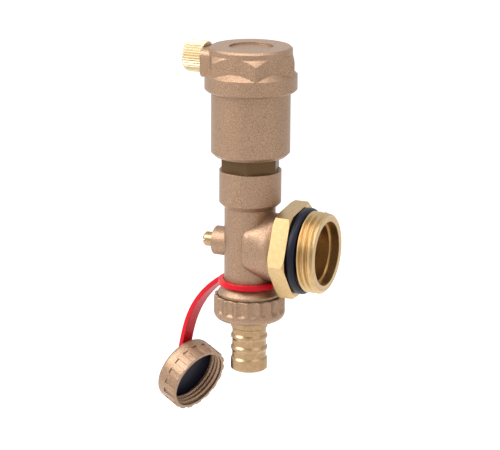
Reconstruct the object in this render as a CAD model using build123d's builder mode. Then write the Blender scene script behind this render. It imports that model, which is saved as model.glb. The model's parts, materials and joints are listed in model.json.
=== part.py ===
# Manifold end fitting: brass tee with a float air vent on top, a threaded nipple,
# a quarter-turn drain spindle, a hose tail under a union nut and a strapped blanking cap.
# Millimetres, +Z up. Origin on the manifold thread axis at the start of the thread wall, +X out.
import math
import os

from build123d import *

# General clearances
run_gap = 0.3
slip_gap = 0.1
shaft_gap = 0.05

# Manifold nipple along X, lengths measured from the thread start
thread_r = 16.62
thread_len = 7.6
thread_chamfer = 1.0
ring_seat_len = 3.4
ring_seat_r = 14.3
ring_thick = 3.4
ring_round_share = 0.38
nipple_hex_af = 35.0
nipple_hex_len = 7.2
nipple_hex_turn = -7.6
nipple_bore_r = 12.2
counterbore_r = 13.1
counterbore_len = 4.0
stub_r = 11.0
stub_bore_r = 8.6
stub_len = 6.5

# Tee body, heights measured from the outlet axis
neck_reach = 16.0
neck_r = 14.0
neck_root_r = 9.8
neck_cone_start = 1.0
neck_cone_end = 9.5
barrel_r = 10.5
socket_r = 12.7
socket_top = 31.5
socket_low = 18.2
socket_cone_low = 16.0
socket_bore_r = 10.5
socket_floor = 18.0
shoulder_top = -17.0
shoulder_low = -20.0
shoulder_r = 13.1
spigot_r = 12.9
spigot_low = -25.7
water_r = 5.5
chamber_r = 7.0
chamber_back = -5.0
rear_boss_r = 6.0
rear_boss_end = -15.0

# Drain spindle
spindle_r = 3.0
spindle_end = -20.3
plug_bore_r = 4.8
plug_bore_back = -2.0
port_r = 3.8
seal_groove_x = -11.0
seal_groove_len = 2.0
seal_groove_r = 2.0
slot_w = 1.0
slot_deep = 1.2

# Air vent body
vent_r = 16.1
vent_floor = 41.0
vent_low = 37.6
vent_overlap = 2.0
vent_in_r = 13.6
vent_hex_af = 22.0
vent_hex_turn = -73.0
vent_stub_low = 20.0
vent_stub_bore_r = 7.0

# Vent bonnet
bonnet_r = 16.8
flange_r = 18.8
flange_low = 64.4
flange_len = 6.6
bonnet_hex_af = 33.0
bonnet_hex_len = 8.5
crown_len = 2.8
bonnet_gasket_thick = 1.0
cavity_r = 13.0
roof_thick = 4.3
recess_r = 8.9
recess_deep = 0.8
pad_w = 16.0
pad_drop = 1.5
pad_sink = 2.0
pad_end = -19.1
nozzle_rise = 1.4
nozzle_r = 4.0
nozzle_end = -26.0
orifice_r = 0.9

# Vent cap
cap_r = 6.5
cap_end = -28.2
cap_wall = 1.9
cap_round = 1.4
knurl_count = 36
knurl_deep = 0.35

# Float
float_r = 12.0
float_high = 58.0
float_stem_r = 1.5
float_stem_top = 62.0

# Union nut and hose tail
nut_r = 14.7
nut_top = -21.3
nut_low = -31.5
nut_round = 3.0
flute_count = 18
flute_w = 2.4
flute_deep = 0.5
flute_len = 6.0
gasket_thick = 1.5
flange_thick = 2.0
tail_r = 7.6
tail_root_r = 7.05
tail_low = -53.5
tail_chamfer = 0.6
tail_bore_r = 5.5
barb_pitch = 5.0
barb_first = -39.3
barb_count = 3

# Strap and blanking cap, in the upright plane that points away from the outlet
strap_dir = 161.0
strap_w = 5.5
strap_thick = 2.0
strap_ring_top = -14.7
strap_ring_low = -16.6
strap_ring_r = 12.9
blank_r = 14.6
blank_deep = 11.0
blank_in_r = 12.9
blank_thread = 6.4
blank_gasket = 2.0
gasket_step = 0.2
lower_ring_w = 2.2
blank_boss_r = 4.75
blank_boss_len = 4.0
blank_lip_r = 5.8
blank_lip = 1.0
blank_tilt = 20.7
rim_out = 29.1
rim_z = -66.0

os.makedirs("parts", exist_ok=True)

seat_x = -ring_seat_len
hex_x = seat_x - nipple_hex_len
tee_x = hex_x - neck_reach
ring_outer_r = ring_seat_r + ring_thick
vent_top = flange_low + vent_overlap
flange_high = flange_low + flange_len
bonnet_hex_top = flange_high + bonnet_hex_len
bonnet_top = bonnet_hex_top + crown_len
cavity_low = vent_top + bonnet_gasket_thick
cavity_top = bonnet_top - roof_thick
pad_low = flange_high - pad_sink
pad_high = bonnet_top - pad_drop
nozzle_z = (pad_low + pad_high) / 2 + nozzle_rise
tee_plane = Plane(origin=(tee_x, 0, 0), x_dir=(1, 0, 0), z_dir=(0, -1, 0))
tee_axis = Axis((tee_x, 0, 0), (0, 0, 1))


def across_x(offset):
    """Plane square to X at a distance from the tee axis."""
    return Plane(origin=(tee_x + offset, 0, 0), x_dir=(0, 1, 0), z_dir=(1, 0, 0))


def across_z(height):
    """Plane square to the tee axis at a height."""
    return Plane(origin=(tee_x, 0, height), x_dir=(1, 0, 0), z_dir=(0, 0, 1))


# Tee body: barrel, socket, shoulder and spigot in one turn, neck and rear boss along X
with BuildPart() as tee_body:
    with BuildSketch(tee_plane):
        with BuildLine():
            Polyline(
                (0, spigot_low), (spigot_r, spigot_low), (spigot_r, shoulder_low - 1.0),
                (shoulder_r, shoulder_low - 1.0), (shoulder_r, shoulder_low), (barrel_r, shoulder_top),
                (barrel_r, socket_cone_low), (socket_r, socket_low), (socket_r, socket_top),
                (0, socket_top), close=True)
        make_face()
    revolve(axis=tee_axis)
    with BuildSketch(tee_plane):
        with BuildLine():
            Polyline(
                (0, 0), (0, neck_root_r - 0.6), (neck_cone_start, neck_root_r), (neck_cone_end, neck_r),
                (neck_reach, neck_r), (neck_reach, 0), close=True)
        make_face()
    revolve(axis=Axis.X)
    with BuildSketch(across_x(rear_boss_end)):
        Circle(rear_boss_r)
    extrude(amount=-rear_boss_end)
    with BuildSketch(across_z(spigot_low)):
        Circle(water_r)
    extrude(amount=socket_top - spigot_low, mode=Mode.SUBTRACT)
    with BuildSketch(across_z(socket_floor)):
        Circle(socket_bore_r)
    extrude(amount=socket_top - socket_floor, mode=Mode.SUBTRACT)
    with BuildSketch(across_x(chamber_back)):
        Circle(chamber_r)
    extrude(amount=neck_reach - chamber_back, mode=Mode.SUBTRACT)
    with BuildSketch(across_x(neck_reach - stub_len - run_gap)):
        Circle(stub_r + slip_gap)
    extrude(amount=stub_len + run_gap, mode=Mode.SUBTRACT)
    with BuildSketch(across_x(rear_boss_end)):
        Circle(spindle_r + shaft_gap)
    extrude(amount=chamber_back - rear_boss_end, mode=Mode.SUBTRACT)
tee_body.part.label = "tee_body"

# Nipple: turned body with a hexagon, seal seat, thread wall and stepped bore
nipple_corner_r = nipple_hex_af / math.sqrt(3)
with BuildPart() as manifold_nipple:
    with BuildSketch(Plane(origin=(hex_x, 0, 0), x_dir=(0, 1, 0), z_dir=(1, 0, 0))):
        RegularPolygon(nipple_corner_r, 6, rotation=nipple_hex_turn)
    extrude(amount=nipple_hex_len)
    with BuildSketch(Plane.XZ):
        with BuildLine():
            Polyline(
                (hex_x, 0), (hex_x, nipple_corner_r - 1.4), (hex_x + 0.8, nipple_corner_r + 0.1),
                (seat_x - 0.8, nipple_corner_r + 0.1), (seat_x, nipple_corner_r - 1.4), (seat_x, 0),
                close=True)
        make_face()
    revolve(axis=Axis.X, mode=Mode.INTERSECT)
    with BuildSketch(Plane.XZ):
        with BuildLine():
            Polyline(
                (hex_x - stub_len, 0), (hex_x - stub_len, stub_r), (hex_x, stub_r), (seat_x, ring_seat_r),
                (0, ring_seat_r), (0, thread_r), (thread_len - thread_chamfer, thread_r),
                (thread_len, thread_r - thread_chamfer), (thread_len, 0), close=True)
        make_face()
    revolve(axis=Axis.X)
    with BuildSketch(Plane.XZ):
        with BuildLine():
            Polyline(
                (hex_x - stub_len, 0), (hex_x - stub_len, stub_bore_r), (hex_x + 1.0, stub_bore_r),
                (hex_x + 3.0, nipple_bore_r), (thread_len - counterbore_len, nipple_bore_r),
                (thread_len - counterbore_len, counterbore_r), (thread_len, counterbore_r),
                (thread_len, 0), close=True)
        make_face()
    revolve(axis=Axis.X, mode=Mode.SUBTRACT)
manifold_nipple.part.label = "manifold_nipple"

# Sealing ring in its seat, with small flats against the hexagon and the thread wall
with BuildPart() as manifold_o_ring:
    with BuildSketch(Plane.XZ):
        with BuildLine():
            Polyline(
                (seat_x, ring_seat_r + shaft_gap), (seat_x, ring_outer_r), (0, ring_outer_r),
                (0, ring_seat_r + shaft_gap), close=True)
        make_face()
    revolve(axis=Axis.X)
    fillet(manifold_o_ring.edges().filter_by(GeomType.CIRCLE), ring_round_share * ring_thick)
manifold_o_ring.part.label = "manifold_o_ring"

# Drain spindle: plug with ports, stem and a slot in the outer end
plug_front = neck_reach - stub_len - 2 * run_gap
plug_r = chamber_r - run_gap
with BuildPart() as drain_spindle:
    with BuildSketch(tee_plane):
        with BuildLine():
            Polyline(
                (spindle_end, 0), (spindle_end, spindle_r - 0.8), (spindle_end + 0.8, spindle_r),
                (seal_groove_x - seal_groove_len, spindle_r), (seal_groove_x - seal_groove_len, seal_groove_r),
                (seal_groove_x, seal_groove_r), (seal_groove_x, spindle_r), (chamber_back + run_gap, spindle_r),
                (chamber_back + run_gap, plug_r), (plug_front, plug_r), (plug_front, 0), close=True)
        make_face()
    revolve(axis=Axis.X)
    with BuildSketch(across_x(plug_bore_back)):
        Circle(plug_bore_r)
    extrude(amount=plug_front - plug_bore_back, mode=Mode.SUBTRACT)
    for port_turn in (0, 45, 90, 180):
        port_dir = (0, math.cos(math.radians(port_turn)), math.sin(math.radians(port_turn)))
        with BuildSketch(Plane(origin=(tee_x + 1.5, 0, 0), x_dir=(1, 0, 0), z_dir=port_dir)):
            Circle(port_r)
        extrude(amount=plug_r + 1.0, mode=Mode.SUBTRACT)
    with BuildSketch(across_x(spindle_end)):
        Rectangle(2 * spindle_r, slot_w)
    extrude(amount=slot_deep, mode=Mode.SUBTRACT)
drain_spindle.part.label = "drain_spindle"

with BuildPart() as spindle_o_ring:
    with BuildSketch(tee_plane):
        with BuildLine():
            Polyline(
                (seal_groove_x - seal_groove_len + run_gap, seal_groove_r),
                (seal_groove_x - seal_groove_len + run_gap, spindle_r),
                (seal_groove_x - run_gap, spindle_r), (seal_groove_x - run_gap, seal_groove_r), close=True)
        make_face()
    revolve(axis=Axis.X)
spindle_o_ring.part.label = "spindle_o_ring"

# Vent body: cup with a hexagon and a threaded stub below
with BuildPart() as vent_body:
    with BuildSketch(tee_plane):
        with BuildLine():
            Polyline(
                (0, vent_low), (vent_r - 1.5, vent_low), (vent_r, vent_low + 1.5), (vent_r, vent_top),
                (0, vent_top), close=True)
        make_face()
    revolve(axis=tee_axis)
    with BuildSketch(across_z(socket_top)):
        RegularPolygon(vent_hex_af / math.sqrt(3), 6, rotation=vent_hex_turn)
    extrude(amount=vent_low - socket_top)
    with BuildSketch(across_z(vent_stub_low)):
        Circle(socket_bore_r - slip_gap)
    extrude(amount=socket_top - vent_stub_low)
    with BuildSketch(across_z(vent_floor)):
        Circle(vent_in_r)
    extrude(amount=vent_top - vent_floor, mode=Mode.SUBTRACT)
    with BuildSketch(across_z(vent_stub_low)):
        Circle(vent_stub_bore_r)
    extrude(amount=vent_floor - vent_stub_low, mode=Mode.SUBTRACT)
vent_body.part.label = "vent_body"

# Bonnet: flange, hexagon under a round top, side pad and vent nozzle
with BuildPart() as vent_bonnet:
    with BuildSketch(across_z(flange_high)):
        RegularPolygon(bonnet_hex_af / math.sqrt(3), 6)
    extrude(amount=bonnet_hex_top - flange_high)
    with BuildSketch(tee_plane):
        with BuildLine():
            Polyline(
                (0, flange_high), (flange_r, flange_high), (flange_r, bonnet_hex_top - 2.4),
                (bonnet_r, bonnet_hex_top), (0, bonnet_hex_top), close=True)
        make_face()
    revolve(axis=tee_axis, mode=Mode.INTERSECT)
    with BuildSketch(tee_plane):
        with BuildLine():
            Polyline(
                (0, flange_low), (flange_r - 0.8, flange_low), (flange_r, flange_low + 0.8),
                (flange_r, flange_high), (bonnet_r - 0.3, flange_high + 2.2), (bonnet_r, bonnet_hex_top),
                (bonnet_r, bonnet_top - 0.8), (bonnet_r - 0.8, bonnet_top), (0, bonnet_top), close=True)
        make_face()
    revolve(axis=tee_axis)
    with BuildSketch(across_x(pad_end)):
        with Locations((0, (pad_low + pad_high) / 2)):
            RectangleRounded(pad_w, pad_high - pad_low, 3.0)
    extrude(amount=8.0)
    with BuildSketch(across_z(flange_low)):
        Circle(vent_r + slip_gap)
    extrude(amount=cavity_low - flange_low, mode=Mode.SUBTRACT)
    with BuildSketch(across_z(cavity_low)):
        Circle(cavity_r)
    extrude(amount=cavity_top - cavity_low, mode=Mode.SUBTRACT)
    with BuildSketch(across_z(bonnet_top - recess_deep)):
        Circle(recess_r)
    extrude(amount=recess_deep, mode=Mode.SUBTRACT)
    with BuildSketch(across_x(nozzle_end)):
        with Locations((0, nozzle_z)):
            Circle(nozzle_r)
    extrude(amount=pad_end - nozzle_end)
    with BuildSketch(across_x(nozzle_end)):
        with Locations((0, nozzle_z)):
            Circle(orifice_r)
    extrude(amount=-nozzle_end - cavity_r + 1.0, mode=Mode.SUBTRACT)
vent_bonnet.part.label = "vent_bonnet"

with BuildPart() as bonnet_gasket:
    with BuildSketch(across_z(vent_top)):
        Circle(vent_r)
        Circle(vent_in_r, mode=Mode.SUBTRACT)
    extrude(amount=cavity_low - vent_top)
bonnet_gasket.part.label = "bonnet_gasket"

# Knurled cap on the vent nozzle
with BuildPart() as vent_cap:
    with BuildSketch(across_x(cap_end)):
        with Locations((0, nozzle_z)):
            Circle(cap_r)
            with PolarLocations(cap_r, knurl_count):
                Rectangle(2 * knurl_deep, 2 * knurl_deep, rotation=45, mode=Mode.SUBTRACT)
    extrude(amount=pad_end - run_gap - cap_end)
    with BuildSketch(across_x(cap_end + cap_wall)):
        with Locations((0, nozzle_z)):
            Circle(nozzle_r + run_gap)
    extrude(amount=pad_end - cap_end, mode=Mode.SUBTRACT)
    with BuildSketch(Plane(origin=(tee_x, 0, nozzle_z), x_dir=(1, 0, 0), z_dir=(0, -1, 0))):
        with BuildLine():
            Polyline(
                (cap_end, 0), (cap_end, cap_r - cap_round),
                (cap_end + 0.3 * cap_round, cap_r - 0.3 * cap_round),
                (cap_end + cap_round, cap_r), (pad_end, cap_r), (pad_end, 0), close=True)
        make_face()
    revolve(axis=Axis((tee_x, 0, nozzle_z), (1, 0, 0)), mode=Mode.INTERSECT)
vent_cap.part.label = "vent_cap"

with BuildPart() as vent_float:
    with BuildSketch(tee_plane):
        with BuildLine():
            Polyline(
                (0, vent_floor), (float_r - 1.5, vent_floor), (float_r, vent_floor + 1.5),
                (float_r, float_high - 1.5), (float_r - 1.5, float_high), (float_stem_r, float_high),
                (float_stem_r, float_stem_top), (0, float_stem_top), close=True)
        make_face()
    revolve(axis=tee_axis)
vent_float.part.label = "vent_float"

# Hose tail, its flat gasket and the fluted union nut
gasket_low = spigot_low - gasket_thick
tail_flange_low = gasket_low - flange_thick
barb_pts = []
for barb in range(barb_count):
    ridge_z = barb_first - barb * barb_pitch
    barb_pts.append((tail_root_r, ridge_z + barb_pitch * 0.3))
    barb_pts.append((tail_r, ridge_z + barb_pitch * 0.12))
    if barb < barb_count - 1:
        barb_pts.append((tail_r, ridge_z - barb_pitch * 0.04))
        barb_pts.append((tail_root_r, ridge_z - barb_pitch * 0.24))
with BuildPart() as hose_tail:
    with BuildSketch(tee_plane):
        with BuildLine():
            Polyline(
                (0, gasket_low), (spigot_r - 0.2, gasket_low), (spigot_r - 0.2, tail_flange_low),
                (tail_r, tail_flange_low), (tail_r, nut_low - 3.5), (tail_root_r, nut_low - 4.0),
                *barb_pts, (tail_r, tail_low + tail_chamfer), (tail_r - tail_chamfer, tail_low), (0, tail_low),
                close=True)
        make_face()
    revolve(axis=tee_axis)
    with BuildSketch(across_z(tail_low)):
        Circle(tail_bore_r)
    extrude(amount=gasket_low - tail_low, mode=Mode.SUBTRACT)
hose_tail.part.label = "hose_tail"

with BuildPart() as hose_tail_gasket:
    with BuildSketch(across_z(gasket_low)):
        Circle(spigot_r - 0.2)
        Circle(water_r + 1.0, mode=Mode.SUBTRACT)
    extrude(amount=gasket_thick)
hose_tail_gasket.part.label = "hose_tail_gasket"

nut_ledge = tail_flange_low - run_gap
with BuildPart() as union_nut:
    with BuildSketch(tee_plane):
        with BuildLine():
            Polyline(
                (tail_r + run_gap, nut_low), (nut_r - nut_round, nut_low),
                (nut_r - 0.55 * nut_round, nut_low + 0.1 * nut_round),
                (nut_r - 0.25 * nut_round, nut_low + 0.35 * nut_round),
                (nut_r, nut_low + nut_round), (nut_r, nut_top), (spigot_r + run_gap, nut_top),
                (spigot_r + run_gap, nut_ledge), (tail_r + run_gap, nut_ledge), close=True)
        make_face()
    revolve(axis=tee_axis)
    with BuildSketch(across_z(nut_top - flute_len)):
        with PolarLocations(nut_r, flute_count):
            Rectangle(2 * flute_deep, flute_w)
    extrude(amount=flute_len, mode=Mode.SUBTRACT)
union_nut.part.label = "union_nut"

# Strap: ring round the tee neck, curved band and ring round the boss of the blanking cap
out = (math.cos(math.radians(strap_dir)), math.sin(math.radians(strap_dir)), 0)
strap_plane = Plane(origin=(tee_x, 0, 0), x_dir=out, z_dir=(out[1], -out[0], 0))
tilt = math.radians(blank_tilt)
mouth = (-math.cos(tilt), -math.sin(tilt))
rise = (-math.sin(tilt), math.cos(tilt))
mouth_dir = (mouth[0] * out[0], mouth[0] * out[1], mouth[1])
ring_mid = blank_deep + run_gap + strap_thick / 2
ring_r = rim_out - mouth[0] * ring_mid
ring_z = rim_z - mouth[1] * ring_mid
lower_ring_in = blank_boss_r + run_gap
lower_ring_out = lower_ring_in + lower_ring_w
blank_hole = blank_thread + blank_gasket + run_gap
gasket_seat_r = blank_in_r - gasket_step


def cap_plane(back):
    """Plane square to the blanking cap axis, a distance behind its rim."""
    reach = rim_out - mouth[0] * back
    centre = (tee_x + out[0] * reach, out[1] * reach, rim_z - mouth[1] * back)
    return Plane(origin=centre, x_dir=(out[1], -out[0], 0), z_dir=mouth_dir)


strap_mid_z = (strap_ring_top + strap_ring_low) / 2
path = [
    (strap_ring_r - 1.0, strap_mid_z), (17.0, -19.0), (25.0, -26.0), (31.0, -34.0), (34.5, -41.5),
    (36.6, -48.5), (ring_r + (lower_ring_out - 1.0) * rise[0], ring_z + (lower_ring_out - 1.0) * rise[1])]
upper = []
lower = []
for index, point in enumerate(path):
    before = path[max(index - 1, 0)]
    after = path[min(index + 1, len(path) - 1)]
    run = (after[0] - before[0], after[1] - before[1])
    size = math.hypot(run[0], run[1])
    side = (-run[1] / size * strap_thick / 2, run[0] / size * strap_thick / 2)
    upper.append((point[0] + side[0], point[1] + side[1]))
    lower.append((point[0] - side[0], point[1] - side[1]))
with BuildPart() as retaining_strap:
    with BuildSketch(strap_plane):
        with BuildLine():
            Spline(*upper)
            Line(upper[-1], lower[-1])
            Spline(*lower)
            Line(lower[0], upper[0])
        make_face()
    extrude(amount=strap_w / 2, both=True)
    with BuildSketch(across_z(strap_ring_low)):
        Circle(strap_ring_r)
    extrude(amount=strap_ring_top - strap_ring_low)
    with BuildSketch(cap_plane(blank_deep + run_gap + strap_thick)):
        Circle(lower_ring_out)
    extrude(amount=strap_thick)
    with BuildSketch(across_z(strap_ring_low - 6.0)):
        Circle(barrel_r + run_gap)
    extrude(amount=12.0, mode=Mode.SUBTRACT)
    with BuildSketch(cap_plane(blank_deep + run_gap + strap_thick + 4.0)):
        Circle(lower_ring_in)
    extrude(amount=strap_thick + 8.0, mode=Mode.SUBTRACT)
retaining_strap.part.label = "retaining_strap"

with BuildPart() as blanking_cap:
    with BuildSketch(cap_plane(blank_deep)):
        Circle(blank_r)
    extrude(amount=blank_deep)
    fillet(blanking_cap.faces().sort_by(Axis((0, 0, 0), mouth_dir))[0].edges(), 2.0)
    with BuildSketch(cap_plane(blank_thread)):
        Circle(blank_in_r)
    extrude(amount=blank_thread, mode=Mode.SUBTRACT)
    with BuildSketch(cap_plane(blank_hole)):
        Circle(gasket_seat_r)
    extrude(amount=blank_hole - blank_thread, mode=Mode.SUBTRACT)
    with BuildSketch(cap_plane(flute_len)):
        with PolarLocations(blank_r, flute_count):
            Rectangle(2 * flute_deep, flute_w)
    extrude(amount=flute_len, mode=Mode.SUBTRACT)
    with BuildSketch(cap_plane(blank_deep + blank_boss_len)):
        Circle(blank_boss_r)
    extrude(amount=blank_boss_len)
    with BuildSketch(cap_plane(blank_deep + blank_boss_len)):
        Circle(blank_lip_r)
    extrude(amount=blank_lip)
blanking_cap.part.label = "blanking_cap"

with BuildPart() as blanking_cap_gasket:
    with BuildSketch(cap_plane(blank_hole)):
        Circle(gasket_seat_r - slip_gap)
    extrude(amount=blank_gasket)
blanking_cap_gasket.part.label = "blanking_cap_gasket"

export_step(tee_body.part, "parts/tee_body.step")
export_step(manifold_nipple.part, "parts/manifold_nipple.step")
export_step(manifold_o_ring.part, "parts/manifold_o_ring.step")
export_step(drain_spindle.part, "parts/drain_spindle.step")
export_step(spindle_o_ring.part, "parts/spindle_o_ring.step")
export_step(vent_body.part, "parts/vent_body.step")
export_step(vent_bonnet.part, "parts/vent_bonnet.step")
export_step(bonnet_gasket.part, "parts/bonnet_gasket.step")
export_step(vent_cap.part, "parts/vent_cap.step")
export_step(vent_float.part, "parts/vent_float.step")
export_step(hose_tail.part, "parts/hose_tail.step")
export_step(hose_tail_gasket.part, "parts/hose_tail_gasket.step")
export_step(union_nut.part, "parts/union_nut.step")
export_step(retaining_strap.part, "parts/retaining_strap.step")
export_step(blanking_cap.part, "parts/blanking_cap.step")
export_step(blanking_cap_gasket.part, "parts/blanking_cap_gasket.step")
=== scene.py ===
import json
import math

import bpy
from mathutils import Matrix, Vector

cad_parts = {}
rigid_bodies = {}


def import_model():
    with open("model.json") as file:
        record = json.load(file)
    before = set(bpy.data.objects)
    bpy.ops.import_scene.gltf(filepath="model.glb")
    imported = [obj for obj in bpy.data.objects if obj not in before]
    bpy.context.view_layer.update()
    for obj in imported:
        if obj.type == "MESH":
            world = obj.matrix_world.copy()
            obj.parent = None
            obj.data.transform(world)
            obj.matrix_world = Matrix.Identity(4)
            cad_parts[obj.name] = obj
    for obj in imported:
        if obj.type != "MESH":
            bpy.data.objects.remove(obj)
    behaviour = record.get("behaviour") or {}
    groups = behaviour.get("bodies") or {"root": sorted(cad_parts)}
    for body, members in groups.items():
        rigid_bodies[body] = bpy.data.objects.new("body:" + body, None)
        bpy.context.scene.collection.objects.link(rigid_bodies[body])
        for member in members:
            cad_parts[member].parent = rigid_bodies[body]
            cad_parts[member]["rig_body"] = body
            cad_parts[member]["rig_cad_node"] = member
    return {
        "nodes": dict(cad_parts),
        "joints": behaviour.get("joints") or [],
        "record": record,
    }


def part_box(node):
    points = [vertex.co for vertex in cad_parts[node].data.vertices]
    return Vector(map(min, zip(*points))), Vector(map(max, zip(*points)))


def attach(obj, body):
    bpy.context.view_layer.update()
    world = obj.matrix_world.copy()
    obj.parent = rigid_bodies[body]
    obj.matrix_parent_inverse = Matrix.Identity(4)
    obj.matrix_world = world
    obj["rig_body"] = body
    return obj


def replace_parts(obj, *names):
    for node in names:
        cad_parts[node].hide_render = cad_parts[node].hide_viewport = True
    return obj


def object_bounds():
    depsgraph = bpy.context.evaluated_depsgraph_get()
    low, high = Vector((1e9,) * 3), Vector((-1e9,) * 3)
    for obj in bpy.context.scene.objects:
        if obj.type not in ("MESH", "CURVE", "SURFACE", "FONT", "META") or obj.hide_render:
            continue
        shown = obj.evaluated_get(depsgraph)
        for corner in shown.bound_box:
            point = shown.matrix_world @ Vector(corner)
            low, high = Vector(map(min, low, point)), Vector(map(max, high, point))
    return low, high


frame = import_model()
cad_low, cad_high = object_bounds()

MM = 0.001
# Places nearer to each other than this count as one
TOUCH = 0.01 * MM
WHITE = (1, 1, 1, 1)

# Places read from the frame, in metres
nodes = frame["nodes"]
joints = {joint["name"]: joint for joint in frame["joints"]}
mounts = {mount["name"]: mount for mount in frame["record"]["mounts"]}
tee_x = joints["nut_turn"]["pos_m"][0]

# Hexagon under the vent, over which the vent's colour is painted dark as shade
VENT_HEX_LENGTH = 6.1 * MM

# Threads: steps round a turn and along one pitch, and the shape of the rounded groove
TURN_STEPS = 160
STEPS_PER_PITCH = 14
GROOVE_SLOPE = 1.25
GROOVE_CREST = 0.12
# Outlet thread, pipe size one inch
THREAD_PITCH = 2.309 * MM
THREAD_DEPTH = 1.35 * MM
THREAD_CHAMFER = 1.0 * MM
THREAD_CORE_R = 14.9 * MM
# The screwed nipple stops at the angle that the photograph shows, in degrees
HEX_TURN = 15.2
# Thread inside the blanking cap, pipe size three quarters
CAP_PITCH = 1.814 * MM
CAP_DEPTH = 0.8 * MM
CAP_THREAD_START = 0.9 * MM
CAP_THREAD_END = 6.2 * MM
CAP_WALL_OVERLAP = 0.05 * MM

# Flat-sided casting over the tee's neck: distance from the tee axis, half width and half height
# of each section in mm, and its squareness, which is 2 for a circle
NECK_SECTIONS = (
    (0.5, 10.0, 8.4, 3.6),
    (1.0, 11.0, 9.1, 3.6),
    (1.6, 11.6, 9.5, 3.6),
    (2.6, 11.95, 9.85, 3.6),
    (5.0, 12.35, 10.8, 3.4),
    (7.5, 12.9, 12.0, 3.0),
    (9.5, 13.5, 13.2, 2.5),
    (11.5, 14.05, 14.05, 2.0),
    (15.9, 14.05, 14.05, 2.0),
)
NECK_STEPS = 96
# The casting is a shell, and leaves the upright bore of the tee free, in mm
NECK_INNER_SHARE = 0.92
BORE_CLEAR = 7.0

# Union nut with wide hollow flutes that scallop its upper rim
FLUTE_COUNT = 18
FLUTE_DEEP = 0.95 * MM
FLUTE_SHARE = 0.84
FLUTE_LENGTH = 6.6 * MM
FLUTE_FADE = 1.3 * MM
NUT_ROUND = 3.0 * MM
RIM_ROUND = 0.2 * MM
NUT_STEPS = FLUTE_COUNT * 14
ROUND_STEPS = 8
FLUTE_STEPS = 14

# Stage, in metres
FLOOR_SIZE = 40.0
FLOOR_DROP = 0.25
FLOOR_COLOUR = (0.85, 0.85, 0.85, 1)
FLOOR_LIFT = 0.75
WORLD_LIGHT = 0.35

# Camera, fitted to the photograph
CAMERA_AZIMUTH = 24.0
CAMERA_ELEVATION = 15.2
CAMERA_DISTANCE = 0.919
CAMERA_LENS = 161.7
CAMERA_ROLL = 0.4
CAMERA_CLIP = (0.05, 100.0)
AIM_HEIGHT = 8.0 * MM


def maths(tree, operation, first, second):
    """Math node on a socket and on a second socket or number."""
    made = tree.nodes.new("ShaderNodeMath")
    made.operation = operation
    tree.links.new(first, made.inputs[0])
    if isinstance(second, float):
        made.inputs[1].default_value = second
    else:
        tree.links.new(second, made.inputs[1])
    return made.outputs["Value"]


class Material:
    """A node material and short ways to add to it."""

    def __init__(self, name):
        self.material = bpy.data.materials.new(name)
        self.material.use_nodes = True
        self.tree = self.material.node_tree
        self.shader = self.tree.nodes["Principled BSDF"]

    def node(self, kind, **inputs):
        made = self.tree.nodes.new(kind)
        for key, value in inputs.items():
            made.inputs[key].default_value = value
        return made

    def link(self, source, target):
        self.tree.links.new(source, target)

    def noise(self, scale, detail=4.0):
        """Noise in object space, so it stays on the piece when it moves."""
        place = self.node("ShaderNodeTexCoord")
        made = self.node("ShaderNodeTexNoise", Scale=scale, Detail=detail)
        self.link(place.outputs["Object"], made.inputs["Vector"])
        return made.outputs["Fac"]

    def colours(self, factor, start, dark, end, light):
        """Base colour that goes from dark to light as a factor goes from start to end."""
        ramp = self.node("ShaderNodeValToRGB")
        low_stop, high_stop = ramp.color_ramp.elements
        low_stop.position, low_stop.color = start, (*dark, 1)
        high_stop.position, high_stop.color = end, (*light, 1)
        self.link(factor, ramp.inputs["Fac"])
        self.link(ramp.outputs["Color"], self.shader.inputs["Base Color"])

    def band(self, low, high, colour):
        """Other base colour between two heights of the piece."""
        place = self.node("ShaderNodeTexCoord")
        split = self.node("ShaderNodeSeparateXYZ")
        self.link(place.outputs["Object"], split.inputs["Vector"])
        above = maths(self.tree, "GREATER_THAN", split.outputs["Z"], low)
        below = maths(self.tree, "LESS_THAN", split.outputs["Z"], high)
        mix = self.node("ShaderNodeMixRGB", Color2=(*colour, 1))
        self.link(maths(self.tree, "MULTIPLY", above, below), mix.inputs["Fac"])
        self.link(self.shader.inputs["Base Color"].links[0].from_socket, mix.inputs["Color1"])
        self.link(mix.outputs["Color"], self.shader.inputs["Base Color"])

    def bump(self, height, strength, distance, edge_round):
        """Bump over slightly rounded edges."""
        soft_edge = self.node("ShaderNodeBevel", Radius=edge_round)
        made = self.node("ShaderNodeBump", Strength=strength, Distance=distance)
        self.link(soft_edge.outputs["Normal"], made.inputs["Normal"])
        self.link(height, made.inputs["Height"])
        self.link(made.outputs["Normal"], self.shader.inputs["Normal"])

    def finish(self, **values):
        for key, value in values.items():
            self.shader.inputs[key.replace("_", " ")].default_value = value
        return self.material


def blasted_brass(name, shade_band_heights=None):
    """Grainy cast brass, with a dark band of painted shade between two heights if they are given.
    """
    made = Material(name)
    made.colours(
        made.noise(2500.0),
        start=0.32, dark=(0.225, 0.138, 0.086), end=0.68, light=(0.42, 0.272, 0.176))
    if shade_band_heights:
        # Painted shade: a near-black brown between the two heights stands for shade on the vent's
        # hexagon
        made.band(*shade_band_heights, colour=(0.1, 0.055, 0.022))
    made.bump(
        made.noise(2700.0, detail=3.0),
        strength=0.65, distance=0.22 * MM, edge_round=0.35 * MM)
    return made.finish(Metallic=0.75, Roughness=0.41)


def turned_brass(name, dark, light, roughness):
    made = Material(name)
    made.colours(made.noise(700.0), start=0.3, dark=dark, end=0.7, light=light)
    made.bump(made.noise(2500.0), strength=0.12, distance=0.08 * MM, edge_round=0.25 * MM)
    return made.finish(Metallic=1.0, Roughness=roughness)


def plain_finish(name, dark, light, roughness, grain):
    """Rubber or moulded plastic."""
    made = Material(name)
    made.colours(made.noise(400.0), start=0.3, dark=dark, end=0.7, light=light)
    made.bump(made.noise(1800.0), strength=grain, distance=0.1 * MM, edge_round=0.3 * MM)
    return made.finish(Roughness=roughness, Specular_IOR_Level=0.2)


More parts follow.
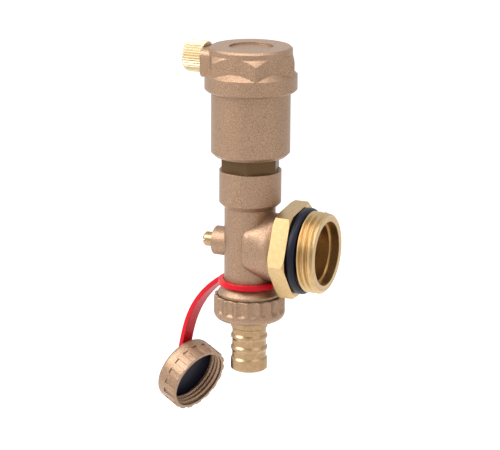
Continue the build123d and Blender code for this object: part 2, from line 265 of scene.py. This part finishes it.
materials = {
    "blasted_brass": blasted_brass("blasted_brass"),
    "turned_brass": turned_brass(
        "turned_brass", dark=(0.46, 0.312, 0.145), light=(0.54, 0.375, 0.19), roughness=0.3),
    "black_rubber": plain_finish(
        "black_rubber", dark=(0.003, 0.003, 0.011), light=(0.006, 0.006, 0.018),
        roughness=0.42, grain=0.15),
    "red_plastic": plain_finish(
        "red_plastic", dark=(0.6, 0.003, 0.014), light=(0.7, 0.005, 0.02),
        roughness=0.38, grain=0.08),
    "float_plastic": plain_finish(
        "float_plastic", dark=(0.62, 0.62, 0.58), light=(0.7, 0.7, 0.66),
        roughness=0.5, grain=0.08),
}


def dress(piece, slot):
    """Give a piece its material and the record's slot for it."""
    piece.data.materials.clear()
    piece.data.materials.append(materials[slot])


for subpart in frame["record"]["subparts"]:
    dress(nodes[subpart["node"]], subpart["material_slot"])


# The vent's hexagon gets a dark band of painted shade, the knurled cap is a paler brass, and tail
# and spindle a darker
hex_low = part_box("tee_body")[1].z
# Painted shade: the vent's colour is near-black brown over the hexagon's length
vent_cast = blasted_brass("vent_cast", shade_band_heights=(hex_low, hex_low + VENT_HEX_LENGTH))
pale_brass = turned_brass(
    "pale_brass", dark=(0.5, 0.4, 0.24), light=(0.6, 0.49, 0.31), roughness=0.36)
tail_brass = turned_brass(
    "tail_brass", dark=(0.32, 0.205, 0.11), light=(0.41, 0.275, 0.155), roughness=0.3)
for node, material in (
        ("vent_body", vent_cast), ("vent_cap", pale_brass),
        ("hose_tail", tail_brass), ("drain_spindle", tail_brass)):
    nodes[node].data.materials[0] = material


def new_piece(name, vertices, faces, slot, body):
    mesh = bpy.data.meshes.new(name)
    mesh.from_pydata(vertices, [], faces)
    mesh.validate()
    piece = bpy.data.objects.new(name, mesh)
    bpy.context.scene.collection.objects.link(piece)
    for polygon in mesh.polygons:
        polygon.use_smooth = True
    dress(piece, slot)
    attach(piece, body)
    return piece


def closed_ring(columns):
    """Vertices and faces of a ring, from its closed section at each step round it."""
    size = len(columns[0])
    faces = []
    for turn in range(len(columns)):
        here, there = turn * size, (turn + 1) % len(columns) * size
        for row in range(size):
            after = (row + 1) % size
            faces.append((here + row, there + row, there + after, here + after))
    return [point for column in columns for point in column], faces


def thread_sleeve(start, end, pitch, wall_r, radius_at):
    """Ring about +X: a helical surface given by radius_at and a plain wall under it."""
    steps = max(2, round((end - start) / pitch * STEPS_PER_PITCH))
    profile = [start + (end - start) * step / steps for step in range(steps + 1)]
    columns = []
    for turn in range(TURN_STEPS):
        angle = 2 * math.pi * turn / TURN_STEPS
        section = [(x, radius_at(x, angle)) for x in profile] + [(end, wall_r), (start, wall_r)]
        columns.append([(x, r * math.cos(angle), r * math.sin(angle)) for x, r in section])
    return closed_ring(columns)


def groove(x, angle, pitch):
    """Depth of a rounded V groove, 0 at the crest and 1 at the root."""
    along = (x / pitch - angle / (2 * math.pi)) % 1.0
    return min(1.0, max(0.0, GROOVE_SLOPE * (1 - abs(2 * along - 1)) - GROOVE_CREST))


# Outlet thread on a nipple whose thread wall is drawn in under it
thread_r = mounts["manifold_thread"]["dims"]["r_mm"] * MM
thread_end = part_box("manifold_nipple")[1].x


def outlet_radius(x, angle):
    chamfer = max(0.0, x - (thread_end - THREAD_CHAMFER))
    return min(thread_r - THREAD_DEPTH * groove(x, angle, THREAD_PITCH), thread_r - chamfer)


def nipple_without_wall():
    """Copy of the nipple with its plain thread wall drawn in below the thread's root."""
    source = nodes["manifold_nipple"]
    piece = source.copy()
    piece.data = source.data.copy()
    piece.name = "nipple_core"
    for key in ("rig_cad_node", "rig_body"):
        del piece[key]
    bpy.context.scene.collection.objects.link(piece)
    piece.data.transform(Matrix.Rotation(math.radians(HEX_TURN), 4, "X"))
    for vertex in piece.data.vertices:
        radius = math.hypot(vertex.co.y, vertex.co.z)
        if vertex.co.x > -TOUCH and radius > THREAD_CORE_R:
            vertex.co.y *= THREAD_CORE_R / radius
            vertex.co.z *= THREAD_CORE_R / radius
    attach(piece, "fitting")
    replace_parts(piece, "manifold_nipple")


nipple_without_wall()
new_piece(
    "outlet_thread",
    *thread_sleeve(0.0, thread_end, THREAD_PITCH, THREAD_CORE_R, outlet_radius),
    "turned_brass", "fitting")

# Female thread inside the blanking cap, made along +X and turned into the cap's axis
cap_mount = mounts["cap_thread"]
cap_wall_r = cap_mount["dims"]["r_mm"] * MM


def cap_radius(x, angle):
    return cap_wall_r - CAP_DEPTH * (1 - groove(x, angle, CAP_PITCH))


cap_vertices, cap_faces = thread_sleeve(
    -CAP_THREAD_END, -CAP_THREAD_START, CAP_PITCH, cap_wall_r + CAP_WALL_OVERLAP, cap_radius)
cap_turn = Vector(cap_mount["axis"]).to_track_quat("X", "Z").to_matrix().to_4x4()
cap_place = Matrix.Translation(cap_mount["pos_m"]) @ cap_turn
# The helical surface faces the axis here, so the faces turn round
new_piece(
    "cap_inner_thread",
    [cap_place @ Vector(vertex) for vertex in cap_vertices],
    [tuple(reversed(face)) for face in cap_faces],
    "blasted_brass", "blank")


def neck_outline(out, angle):
    """Place on the casting's section at a distance from the tee axis, in mm."""
    for near, far in zip(NECK_SECTIONS, NECK_SECTIONS[1:]):
        if out <= far[0]:
            break
    share = (out - near[0]) / (far[0] - near[0])
    half_width, half_height, square = (a + (b - a) * share for a, b in zip(near[1:], far[1:]))
    c, s = math.cos(angle), math.sin(angle)
    return (half_width * math.copysign(abs(c) ** (2 / square), c),
            half_height * math.copysign(abs(s) ** (2 / square), s))


def neck_casting():
    """Shell over the neck, which starts beyond the tee's upright bore where it would cross it."""
    first, last = NECK_SECTIONS[0][0], NECK_SECTIONS[-1][0]
    columns = []
    for turn in range(NECK_STEPS):
        angle = 2 * math.pi * (turn + 0.5) / NECK_STEPS
        start = first if abs(neck_outline(first, angle)[0]) > BORE_CLEAR else BORE_CLEAR
        shares = [(section[0] - first) / (last - first) for section in NECK_SECTIONS]
        outs = [start + share * (last - start) for share in shares]
        outer = [(out, *neck_outline(out, angle)) for out in outs]
        inner = [(out, y * NECK_INNER_SHARE, z * NECK_INNER_SHARE) for out, y, z in outer[::-1]]
        columns.append([(tee_x + out * MM, y * MM, z * MM) for out, y, z in outer + inner])
    return closed_ring(columns)


new_piece("neck_casting", *neck_casting(), "blasted_brass", "fitting")


def fluted_nut():
    """Ring about the tee axis, with the sizes of the nut that it replaces."""
    low, high = (corner.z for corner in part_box("union_nut"))
    places = [
        (math.hypot(vertex.co.x - tee_x, vertex.co.y), vertex.co.z)
        for vertex in nodes["union_nut"].data.vertices]
    outer_r = max(r for r, z in places)
    spigot_r = min(r for r, z in places if z > high - TOUCH)
    tail_r = min(r for r, z in places if z < low + TOUCH)
    ledge = min(z for r, z in places if abs(r - spigot_r) < TOUCH)
    flute_low = high - FLUTE_LENGTH
    rim_low = high - RIM_ROUND

    outside = []
    for step in range(ROUND_STEPS + 1):
        angle = math.pi / 2 * step / ROUND_STEPS
        outside.append((
            outer_r - NUT_ROUND * (1 - math.sin(angle)), low + NUT_ROUND * (1 - math.cos(angle))))
    for step in range(FLUTE_STEPS + 1):
        outside.append((outer_r, flute_low + (rim_low - flute_low) * step / FLUTE_STEPS))
    outside.append((outer_r - RIM_ROUND, high))
    inside = [(spigot_r, high), (spigot_r, ledge), (tail_r, ledge), (tail_r, low)]

    columns = []
    for turn in range(NUT_STEPS):
        angle = 2 * math.pi * turn / NUT_STEPS
        across = (turn / NUT_STEPS * FLUTE_COUNT + 0.5) % 1.0 - 0.5
        hollow = FLUTE_DEEP * max(0.0, 1 - (2 * across / FLUTE_SHARE) ** 2)
        section = []
        for r, z in outside:
            fade = min(1.0, max(0.0, (z - flute_low) / FLUTE_FADE))
            section.append((r - hollow * math.sin(math.pi / 2 * fade), z))
        columns.append([
            (tee_x + r * math.cos(angle), r * math.sin(angle), z) for r, z in section + inside])
    return closed_ring(columns)


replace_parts(new_piece("fluted_nut", *fluted_nut(), "blasted_brass", "nut"), "union_nut")


# Stage: pale floor and world that show white behind the piece and in its metal, and soft light
def background_rays(tree):
    """1 for the rays that show the background: camera, glossy and transmission rays."""
    path = tree.nodes.new("ShaderNodeLightPath")
    shown = path.outputs["Is Camera Ray"]
    for ray in ("Is Glossy Ray", "Is Transmission Ray"):
        shown = maths(tree, "MAXIMUM", shown, path.outputs[ray])
    return shown


def stage_floor():
    """Floor that takes the shadow, lifted to white where it is seen."""
    bpy.ops.mesh.primitive_plane_add(size=FLOOR_SIZE, location=(0, 0, cad_low.z - FLOOR_DROP))
    floor = bpy.context.object
    floor.name = "floor"
    made = Material("floor")
    lift = maths(made.tree, "MULTIPLY", background_rays(made.tree), FLOOR_LIFT)
    made.link(lift, made.shader.inputs["Emission Strength"])
    floor.data.materials.append(
        made.finish(Base_Color=FLOOR_COLOUR, Roughness=0.9, Emission_Color=WHITE))


def stage_world():
    """White world, dimmer as a light than as a background."""
    world = bpy.data.worlds.new("studio")
    world.use_nodes = True
    tree = world.node_tree
    light = tree.nodes["Background"]
    light.inputs["Color"].default_value = WHITE
    light.inputs["Strength"].default_value = WORLD_LIGHT
    white = tree.nodes.new("ShaderNodeBackground")
    white.inputs["Color"].default_value = WHITE
    mix = tree.nodes.new("ShaderNodeMixShader")
    tree.links.new(background_rays(tree), mix.inputs["Fac"])
    tree.links.new(light.outputs["Background"], mix.inputs[1])
    tree.links.new(white.outputs["Background"], mix.inputs[2])
    tree.links.new(mix.outputs["Shader"], tree.nodes["World Output"].inputs["Surface"])
    bpy.context.scene.world = world


def towards(azimuth, elevation):
    """Direction from the piece, in degrees round it from the front and up."""
    a, e = math.radians(azimuth), math.radians(elevation)
    return Vector((math.sin(a) * math.cos(e), -math.cos(a) * math.cos(e), math.sin(e)))


def area_light(name, azimuth, elevation, distance, size, power):
    """Square soft box that faces the tee."""
    back = towards(azimuth, elevation)
    data = bpy.data.lights.new(name, "AREA")
    data.size = size
    data.energy = power
    lamp = bpy.data.objects.new(name, data)
    lamp.location = Vector((tee_x, 0, 0)) + back * distance
    lamp.rotation_mode = "QUATERNION"
    lamp.rotation_quaternion = (-back).to_track_quat("-Z", "Y")
    bpy.context.scene.collection.objects.link(lamp)


def stage_camera():
    back = towards(CAMERA_AZIMUTH, CAMERA_ELEVATION)
    data = bpy.data.cameras.new("camera")
    data.lens = CAMERA_LENS
    data.clip_start, data.clip_end = CAMERA_CLIP
    camera = bpy.data.objects.new("camera", data)
    camera.location = Vector((tee_x, 0, AIM_HEIGHT)) + back * CAMERA_DISTANCE
    roll = Matrix.Rotation(math.radians(CAMERA_ROLL), 3, "Z")
    facing = (-back).to_track_quat("-Z", "Y").to_matrix()
    camera.rotation_mode = "QUATERNION"
    camera.rotation_quaternion = (facing @ roll).to_quaternion()
    bpy.context.scene.collection.objects.link(camera)
    bpy.context.scene.camera = camera


stage_floor()
area_light("key_light", azimuth=-50, elevation=38, distance=0.9, size=0.55, power=8.5)
area_light("right_light", azimuth=75, elevation=30, distance=1.2, size=1.0, power=3.5)
area_light("top_light", azimuth=20, elevation=80, distance=0.8, size=0.5, power=4.0)
stage_world()
stage_camera()
bpy.context.scene.view_settings.view_transform = "Standard"

bpy.context.view_layer.update()
